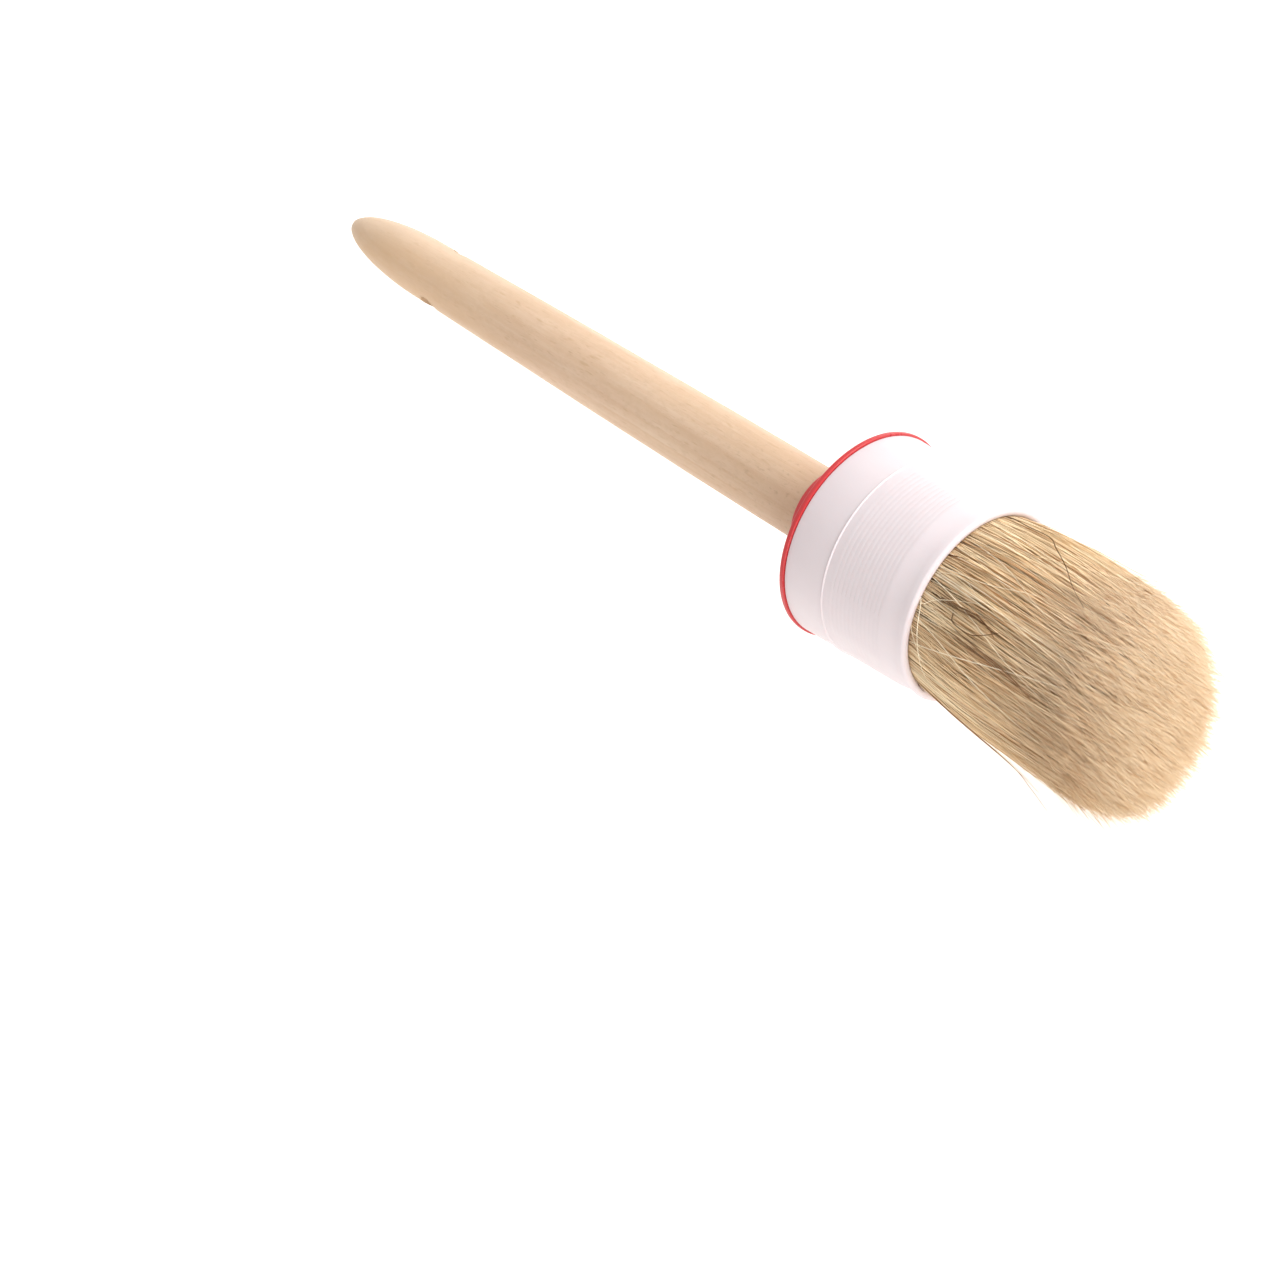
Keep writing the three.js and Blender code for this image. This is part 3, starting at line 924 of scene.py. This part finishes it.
def hair_tones(rng, station, path, tuft, lock):
    """Each hair's tone ring by ring, from 0, black, to 1, cream."""
    tone = MEAN_TONE + rng.normal(0, TONE_SPREAD, HAIR_COUNT)
    tone += rng.normal(0, 0.03, lock.max() + 1)[lock]
    tone += rng.normal(0, 0.05, tuft.max() + 1)[tuft]
    brown = rng.random(HAIR_COUNT) < BROWN_SHARE
    tone -= brown * rng.uniform(0.15, 0.36, HAIR_COUNT)
    pale = rng.random(HAIR_COUNT) < PALE_SHARE
    tone += pale * rng.uniform(0.1, 0.3, HAIR_COUNT)
    reach = np.linalg.norm(path[:, 1], axis=1) / THROAT_RADIUS
    tone += 0.22 * np.clip((0.93 - reach) / 0.1, 0, 1)  # hairs inside the knot are painted paler, painted light for what passes through translucent bristle
    tone = np.clip(tone, 0.2, 1)[:, None] * np.ones((1, RINGS))

    angle = np.degrees(np.arctan2(-path[:, :, 0], path[:, :, 1]))  # from the top towards -Y
    patch = np.exp(-(((angle - PATCH_ANGLE) / PATCH_HALF_ANGLE) ** 2))
    patch *= np.exp(-(((station - PATCH_STATION) / PATCH_HALF_LENGTH) ** 2))
    tone -= patch * rng.uniform(0.0, 0.30, HAIR_COUNT)[:, None]
    tone = np.clip(tone, 0.12, 1)
    dark = rng.random(HAIR_COUNT) < DARK_SHARE
    return np.where(dark[:, None], rng.uniform(0, 0.12, HAIR_COUNT)[:, None], tone)


def prism_corners(station, path, thickness, slimming):
    """The corners of tapered prisms around their paths, by hair, ring and side, in metres."""
    hairs, rings = station.shape
    x = MOUTH.x + station * MM
    centre = np.stack((x, path[:, :, 0] * MM, MOUTH.z + path[:, :, 1] * MM), 2)
    centre[:, :, 2] = np.maximum(centre[:, :, 2], FLOOR_CLEARANCE)
    ahead = np.gradient(centre, axis=1)
    ahead /= np.linalg.norm(ahead, axis=2, keepdims=True)
    across = np.cross(ahead, (0.3, 0.0, 1.0))
    across /= np.linalg.norm(across, axis=2, keepdims=True)
    over = np.cross(across, ahead)
    share = np.linspace(0, 1, rings)
    taper = 1 - slimming * np.clip((share - 0.25) / 0.75, 0, 1) ** 1.7
    size = thickness[:, None] / 2 * taper * MM
    start = np.arange(hairs) * 2.399  # a different turn for each hair
    angles = start[:, None] + np.arange(SIDES) * 2 * math.pi / SIDES
    around = (
        np.cos(angles)[:, None, :, None] * across[:, :, None, :]
        + np.sin(angles)[:, None, :, None] * over[:, :, None, :]
    )
    return centre[:, :, None, :] + around * size[:, :, None, None]


def prism_faces(hairs, rings):
    """Corner numbers of every face, one after the other, and the places where faces start."""
    first = np.arange(hairs)[:, None] * rings * SIDES
    side = np.arange(SIDES)
    following = (side + 1) % SIDES
    low = first[:, :, None] + np.arange(rings - 1)[:, None] * SIDES
    high = low + SIDES
    quads = np.stack((low + side, low + following, high + following, high + side), 3)
    last = first + (rings - 1) * SIDES
    ends = np.stack((first + side[::-1], last + side), 1)
    loops = np.concatenate((quads.ravel(), ends.ravel()))
    quad_starts = np.arange(quads.size // 4) * 4
    end_starts = quads.size + np.arange(ends.size // SIDES) * SIDES
    return loops, np.concatenate((quad_starts, end_starts))


def strip_layout(hairs, rings):
    """Texture coordinates for those faces: tall cells that fill the square, one for each hair."""
    columns = math.ceil(math.sqrt(hairs * 4))
    rows = math.ceil(hairs / columns)
    column, row = np.arange(hairs) % columns, np.arange(hairs) // columns
    inset = 0.12
    u_side = inset + (1 - 2 * inset) * np.arange(SIDES + 1) / SIDES
    v_ring = 0.04 + 0.92 * np.linspace(0, 1, rings)
    u = (column[:, None] + u_side) / columns
    v = (row[:, None] + v_ring) / rows
    u_quad = np.stack((u[:, :-1], u[:, 1:], u[:, 1:], u[:, :-1]), 2)[:, None, :, :]
    v_quad = np.stack((v[:, :-1], v[:, :-1], v[:, 1:], v[:, 1:]), 2)[:, :, None, :]
    shape = (hairs, rings - 1, SIDES, 4)
    uv_quads = np.stack((np.broadcast_to(u_quad, shape), np.broadcast_to(v_quad, shape)), 4)
    u_end = np.broadcast_to(u[:, None, :SIDES], (hairs, 2, SIDES))
    v_end = np.broadcast_to(v[:, (0, -1)][:, :, None], (hairs, 2, SIDES))
    uv_ends = np.stack((u_end, v_end), 3)
    return np.concatenate((uv_quads.reshape(-1, 2), uv_ends.reshape(-1, 2)))


def hair_piece(name, station, path, tone, along, thickness, slimming, material):
    """One mesh of tapered prisms. Each has its own strip in the texture layout OFBake."""
    corners = prism_corners(station, path, thickness, slimming)
    loops, starts = prism_faces(*station.shape)
    mesh = bpy.data.meshes.new(name)
    mesh.vertices.add(corners.size // 3)
    mesh.vertices.foreach_set("co", corners.astype(np.float32).ravel())
    mesh.loops.add(loops.size)
    mesh.loops.foreach_set("vertex_index", loops.astype(np.int32))
    mesh.polygons.add(starts.size)
    mesh.polygons.foreach_set("loop_start", starts.astype(np.int32))
    mesh.update(calc_edges=True)
    mesh.validate()
    mesh.shade_smooth()

    layout = strip_layout(*station.shape).astype(np.float32)
    mesh.uv_layers.new(name="OFBake").data.foreach_set("uv", layout.ravel())
    for title, values in (("tone", tone), ("along", along)):
        attribute = mesh.attributes.new(title, "FLOAT", "POINT")
        attribute.data.foreach_set("value", np.repeat(values, SIDES).astype(np.float32))

    finish_piece(linked(name, mesh), "bristle_knot", material)


def add_flags(rng, station, path, tone, material):
    """Fine split ends that leave their hairs near the tips, as hog bristle has."""
    parent = rng.choice(HAIR_COUNT, FLAG_COUNT, replace=False)
    share = np.linspace(FLAG_START, 1.0, FLAG_RINGS)
    longer = rng.uniform(0, 0.04, (FLAG_COUNT, 1))
    share = share + longer * (share - FLAG_START) / (1 - FLAG_START)
    ring = share * (RINGS - 1)
    below = np.clip(ring.astype(int), 0, RINGS - 2)
    part = ring - below
    who = parent[:, None]
    flag_station = mix_to(station[who, below], station[who, below + 1], part)
    flag_station = np.minimum(flag_station, KNOT_TIP + 2)
    flag_path = mix_to(path[who, below], path[who, below + 1], part[:, :, None])
    away = (share - FLAG_START) / (1 - FLAG_START)
    flag_path += rng.normal(0, FLAG_SPREAD_MM, (FLAG_COUNT, 1, 2)) * (away**1.3)[:, :, None]
    flag_tone = np.clip(tone[parent, -1:] + rng.uniform(-0.30, 0.05, (FLAG_COUNT, 1)), 0.25, 1)
    thickness = rng.uniform(*FLAG_THICKNESS_MM, FLAG_COUNT)
    tones = flag_tone * np.ones((1, FLAG_RINGS))
    for index, chosen in enumerate(np.array_split(np.arange(FLAG_COUNT), FLAG_PIECES)):
        name = f"bristle_flags_{index + 1}"
        hair_piece(name, flag_station[chosen], flag_path[chosen], tones[chosen], share[chosen],
                   thickness[chosen], FLAG_SLIMMING, material)


# Hairs out of place, listed one by one: tone, thickness in millimetres, then (station, degrees from
# the top towards -Y, height above the knot) along each.
STRAY_HAIRS = (
    (0.04, 0.30, ((-1, -57, 0), (2, -56, 0.4), (7, -52, 0.8), (13.5, -52, 0.9), (17, -46.5, 1.1),
                  (18, -45, 1.1), (23.5, -38, 0.9), (28.5, -30, 0.8), (34, -24, 0.3))),
    (0.02, 0.30, ((-1, 13, -2), (6, 14, -1.5), (9, 16, -0.3), (11, 20, 1.0), (16.5, 20, 1.3),
                  (20.5, 15, 1.2), (22.5, 11, 0.7))),
    (0.02, 0.44, ((-1, 14, -1), (6, 13, 0.2), (14.5, 10.5, 1.2), (18, 11, 1.3), (21, 13, 1.0))),
    (0.03, 0.36, ((-1, 15, -1), (6, 14.5, 0.1), (13, 12.5, 1.1), (19, 12, 1.3), (22, 15, 0.8))),
    (0.06, 0.24, ((-1, 11, 0), (10, 11.5, 0.3), (17, 9.5, 0.6), (20, 10, 0.4))),
    (0.04, 0.26, ((-1, -9, 0), (2, -10.5, 0.4), (5, -12, 0.3))),
    (0.06, 0.36, ((-1, 22, -1), (15, 24, 0.1), (29.5, 26.5, 0.9), (34, 29, 0.9), (39, 29, 0.3))),
    (0.08, 0.30, ((-1, 26, -1), (20, 27, 0.1), (31, 28, 0.9), (36, 30.5, 0.6))),
    (0.06, 0.20, ((-1, 83, 0), (0.5, 86, 0.5), (2.5, 84, 0.5))),
    (0.92, 0.20, ((-1, 18, 0), (1, 23, 0.9), (3, 36, 1.5), (5, 51, 1.3), (6, 62, 0.5))),
    (0.90, 0.18, ((-1, 33, 0), (0.5, 38, 0.8), (3.5, 45, 1.2), (6.5, 55, 0.6))),
    (0.88, 0.18, ((-1, 23, 0), (1.5, 21, 0.8), (4, 16, 1.1), (8, 11, 0.7), (14, 5, 0.2))),
    (0.86, 0.20, ((-1, -1, 0), (6, -3, 0.4), (14, -6, 0.8), (22.5, -13, 0.8), (25, -15, 0.5))),
    (0.90, 0.20, ((-1, -24, 0), (8, -21, 0.5), (15.5, -17.5, 0.9), (22.5, -12.5, 0.9), (30, -8, 0.3))),
    (0.92, 0.20, ((-1, 48, 0), (8, 40, 0.7), (20, 31, 0.9), (33, 22, 0.6), (42, 16, 0.3))),
    (0.88, 0.20, ((-1, 30, 0), (9, 34, 0.5), (20, 41, 0.9), (31, 47, 0.6), (40, 51, 0.3))),
    (0.90, 0.18, ((-1, 6, 0), (7, 9, 0.5), (16, 14, 1.0), (27, 22, 0.9), (37, 27, 0.4))),
    (0.14, 0.20, ((-1, -66, 0), (12, -68, 0.2), (24, -78, 0.6), (30, -80, 1.0), (36, -80, 1.9))),
    (0.20, 0.18, ((-1, 82, 0), (12, 84, 0.3), (22.5, 90, 0.7), (31, 90, 1.5), (38, 90, 2.6))),
    (0.08, 0.16, ((-1, 80, 0), (16, 84, 0.3), (29, 90, 1.2), (36, 90, 2.9), (42, 90, 4.7))),
    (0.70, 0.18, ((-1, 84, 0), (14, 87, 0.2), (26, 91, 0.7), (35, 92, 1.8))),
)
STRAY_RINGS = 28
STRAY_SLIMMING = 0.6


def add_strays(material):
    """The stray hairs as one piece. They lean with the knot."""
    hairs = len(STRAY_HAIRS)
    station = np.empty((hairs, STRAY_RINGS))
    path = np.empty((hairs, STRAY_RINGS, 2))
    for index, (_, _, points) in enumerate(STRAY_HAIRS):
        line = smooth_line(np.array(points, float), STRAY_RINGS)
        angle = np.radians(line[:, 1])
        radius = knot_radius(line[:, 0]) + line[:, 2]
        station[index] = line[:, 0]
        path[index, :, 0] = -radius * np.sin(angle) + knot_lean(line[:, 0])
        path[index, :, 1] = radius * np.cos(angle)
    tone = np.array([hair[0] for hair in STRAY_HAIRS])[:, None] * np.ones((1, STRAY_RINGS))
    thickness = np.array([hair[1] for hair in STRAY_HAIRS])
    along = np.full((hairs, STRAY_RINGS), 0.5)
    hair_piece("stray_bristles", station, path, tone, along, thickness, STRAY_SLIMMING, material)


def smooth_line(points, count):
    """Places along a smooth curve (Catmull and Rom's) through the points."""
    first = points[:1] * 2 - points[1:2]
    last = points[-1:] * 2 - points[-2:-1]
    padded = np.concatenate((first, points, last))
    spans = len(points) - 1
    place = np.linspace(0, spans, count)
    span = np.minimum(place.astype(int), spans - 1)
    t = (place - span)[:, None]
    before, start, end, after = (padded[span + shift] for shift in range(4))
    return 0.5 * (
        2 * start
        + (end - before) * t
        + (2 * before - 5 * start + 4 * end - after) * t**2
        + (3 * start - before - 3 * end + after) * t**3
    )


def add_bristles():
    """The knot's hairs in pieces side by side around the axis, their split ends and the strays."""
    rng = np.random.default_rng(SEED)
    material = bristle_material()
    station, path, tuft, lock = hair_paths(rng)
    tone = hair_tones(rng, station, path, tuft, lock)
    along = np.broadcast_to(np.linspace(0, 1, RINGS), station.shape)
    thickness = rng.uniform(*THICKNESS_MM, HAIR_COUNT)
    order = np.argsort(np.arctan2(path[:, 1, 1], path[:, 1, 0]))
    for index, chosen in enumerate(np.array_split(order, HAIR_PIECES)):
        name = f"bristles_{index + 1}"
        hair_piece(name, station[chosen], path[chosen], tone[chosen], along[chosen],
                   thickness[chosen], SLIMMING, material)
    add_flags(rng, station, path, tone, material)
    add_strays(material)


# ---- Build ----
def add_floor():
    """The table, far wider than the camera sees."""
    bpy.ops.mesh.primitive_plane_add(size=8, location=(0, 0, 0))
    floor = bpy.context.object
    floor.name = "table_top"
    floor.data.materials.append(floor_material())


def repaint(node, material):
    """Gives a CAD node that stays in view its own material."""
    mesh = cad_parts[node].data
    mesh.materials.clear()
    mesh.materials.append(material)


add_camera()
add_room()
add_floor()
add_handle()
add_collar_cap()
add_ferrule()
repaint("core_plug", core_material())
repaint("resin_setting", resin_material())
add_bristles()
